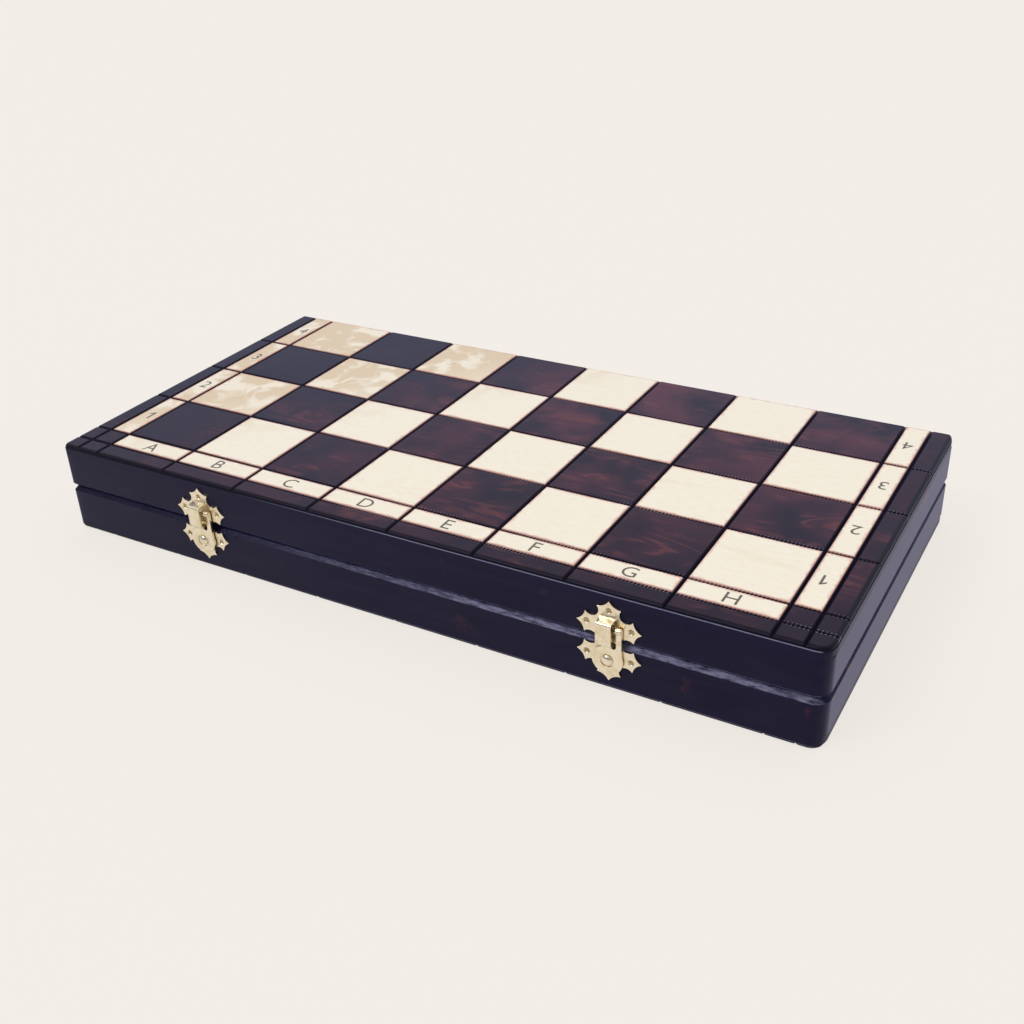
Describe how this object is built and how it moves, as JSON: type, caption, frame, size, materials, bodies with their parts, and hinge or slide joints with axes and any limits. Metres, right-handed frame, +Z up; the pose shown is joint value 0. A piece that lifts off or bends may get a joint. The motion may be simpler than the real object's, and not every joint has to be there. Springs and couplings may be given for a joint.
{
  "type": "folding chess box",
  "caption": "Folding wooden chess box: two hinged trays with half of the grooved chess board on each outer face, shut by brass swing-hook clasps.",
  "frame": {"origin": "middle of the bounding box on the surface the closed box stands on", "axes": "+X along the files from A to H, -Y the clasp side, +Y the hinge side, +Z up"},
  "size_m": [0.354, 0.1834, 0.0433],
  "materials": {
    "playing_face": "lacquered board face, cream and dark stained squares",
    "stained_wood": "dark stain under satin lacquer",
    "felt": "wool felt sheet",
    "hinge_brass": "rolled, satin",
    "clasp_brass": "stamped and plated, polished"
  },
  "bodies": {
    "base": {"base_board": "playing_face", "base_felt": "felt", "base_front_rail": "stained_wood", "base_back_rail": "stained_wood", "base_left_rail": "stained_wood", "base_right_rail": "stained_wood", "base_hinge_leaf_left": "hinge_brass", "base_hinge_leaf_right": "hinge_brass", "hinge_pin_left": "hinge_brass", "hinge_pin_right": "hinge_brass", "base_hinge_screws": "hinge_brass", "left_hook_plate": "clasp_brass", "right_hook_plate": "clasp_brass", "left_rivet": "clasp_brass", "right_rivet": "clasp_brass", "base_clasp_nails": "clasp_brass"},
    "lid": {"lid_board": "playing_face", "lid_felt": "felt", "lid_front_rail": "stained_wood", "lid_back_rail": "stained_wood", "lid_left_rail": "stained_wood", "lid_right_rail": "stained_wood", "lid_hinge_leaf_left": "hinge_brass", "lid_hinge_leaf_right": "hinge_brass", "lid_hinge_screws": "hinge_brass", "left_keeper_plate": "clasp_brass", "right_keeper_plate": "clasp_brass", "lid_clasp_nails": "clasp_brass"},
    "left_hook": {"left_hook": "clasp_brass"},
    "right_hook": {"right_hook": "clasp_brass"}
  },
  "joints": [
    {"name": "lid_hinge", "type": "hinge", "parent": "base", "child": "lid", "pos_m": [0, 0.09022, 0.02165], "axis": [-1, 0, 0], "range_deg": [0, 180]},
    {"name": "left_hook_swing", "type": "hinge", "parent": "base", "child": "left_hook", "pos_m": [-0.09665, -0.08812, 0.01485], "axis": [0, 1, 0], "range_deg": [0, 90]},
    {"name": "right_hook_swing", "type": "hinge", "parent": "base", "child": "right_hook", "pos_m": [0.09665, -0.08812, 0.01485], "axis": [0, 1, 0], "range_deg": [0, 90]}
  ]
}
